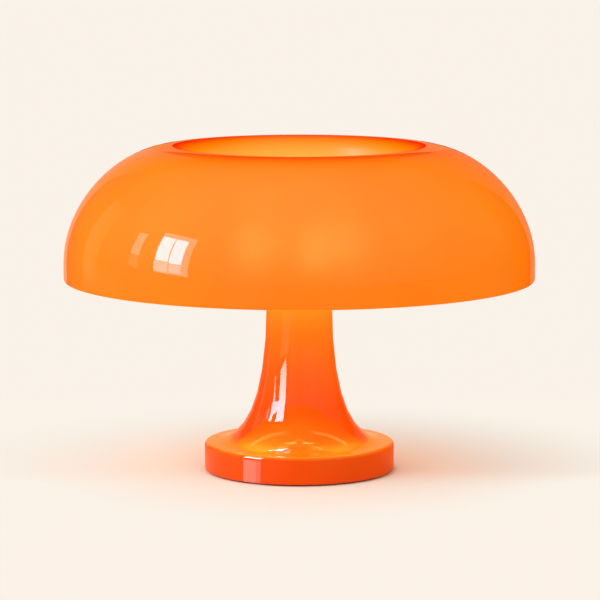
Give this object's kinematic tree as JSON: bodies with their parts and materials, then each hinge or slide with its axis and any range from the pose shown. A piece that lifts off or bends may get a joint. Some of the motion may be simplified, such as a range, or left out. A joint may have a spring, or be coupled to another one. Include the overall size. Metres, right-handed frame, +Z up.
{
  "type": "mushroom table lamp",
  "caption": "Mushroom table lamp: a wide domed shade that rolls over into an open bowl, on a flared stem and a round banded foot, lit by capsule lamps.",
  "frame": {"origin": "middle of the flat face of the foot ring, on the table", "axes": "+Z up along the lamp's axis, -Y to the front, +Y to the back where the cord leaves the foot"},
  "size_m": [0.32, 0.32, 0.2223],
  "materials": {
    "orange_plastic": "glossy, translucent",
    "cast_iron": "as cast, blackened",
    "black_steel": "satin powder coat",
    "white_enamel": "satin enamel",
    "zinc_steel": "zinc plated",
    "black_rubber": "matte",
    "clear_silicone": "soft, translucent",
    "black_plastic": "matte",
    "white_plastic": "matte",
    "brass": "drawn",
    "ceramic": "unglazed steatite",
    "frosted_envelope": "frosted, lit",
    "circuit_board": "white board, phosphor chips",
    "pin_wire": "drawn wire",
    "brown_insulation": "silicone insulation",
    "blue_insulation": "silicone insulation"
  },
  "bodies": {
    "pedestal": {"ballast": "cast_iron", "base_plate": "black_steel", "base_plate_screws": "zinc_steel", "centre_tube": "zinc_steel", "column": "white_enamel", "column_nut": "zinc_steel", "cord_clamp_bar": "black_plastic", "cord_clamp_screws": "zinc_steel", "cord_clamp_seat": "black_plastic", "cord_grommet": "black_rubber", "foot_ring": "black_rubber", "holder_contacts": "brass", "jumpers_live": "brown_insulation", "jumpers_neutral": "blue_insulation", "lamp_dish": "white_enamel", "lampholder_1": "ceramic", "lampholder_2": "ceramic", "lampholder_3": "ceramic", "lampholder_4": "ceramic", "lampholder_screws": "zinc_steel", "lead_live": "brown_insulation", "lead_neutral": "blue_insulation", "lower_nut": "zinc_steel", "lower_washer": "zinc_steel", "pedestal_band": "orange_plastic", "pedestal_shell": "orange_plastic", "seat_ring": "clear_silicone", "terminal_barrels": "brass", "terminal_block": "white_plastic", "terminal_screws": "zinc_steel", "upper_nut": "zinc_steel", "upper_washer": "zinc_steel"},
    "shade": {"shade": "orange_plastic", "shade_bowl": "orange_plastic", "shade_floor": "orange_plastic", "cap_washer": "clear_silicone"},
    "cap": {"cap_nut": "orange_plastic", "cap_insert": "brass"},
    "lamp_1": {"lamp_1_base": "white_plastic", "lamp_1_envelope": "frosted_envelope", "lamp_1_board": "circuit_board", "lamp_1_pins": "pin_wire"},
    "lamp_2": {"lamp_2_base": "white_plastic", "lamp_2_envelope": "frosted_envelope", "lamp_2_board": "circuit_board", "lamp_2_pins": "pin_wire"},
    "lamp_3": {"lamp_3_base": "white_plastic", "lamp_3_envelope": "frosted_envelope", "lamp_3_board": "circuit_board", "lamp_3_pins": "pin_wire"},
    "lamp_4": {"lamp_4_base": "white_plastic", "lamp_4_envelope": "frosted_envelope", "lamp_4_board": "circuit_board", "lamp_4_pins": "pin_wire"}
  },
  "joints": [
    {"name": "shade_lift", "type": "slide", "parent": "pedestal", "child": "shade", "axis": [0, 0, 1], "range_m": [0, 0.08]},
    {"name": "cap_turn", "type": "hinge", "parent": "shade", "child": "cap", "pos_m": [0, 0, 0.19], "axis": [0, 0, 1], "range_deg": [0, 1440]},
    {"name": "lamp_1_pull", "type": "slide", "parent": "pedestal", "child": "lamp_1", "axis": [0, 0, 1], "range_m": [0, 0.012]},
    {"name": "lamp_2_pull", "type": "slide", "parent": "pedestal", "child": "lamp_2", "axis": [0, 0, 1], "range_m": [0, 0.012]},
    {"name": "lamp_3_pull", "type": "slide", "parent": "pedestal", "child": "lamp_3", "axis": [0, 0, 1], "range_m": [0, 0.012]},
    {"name": "lamp_4_pull", "type": "slide", "parent": "pedestal", "child": "lamp_4", "axis": [0, 0, 1], "range_m": [0, 0.012]}
  ]
}
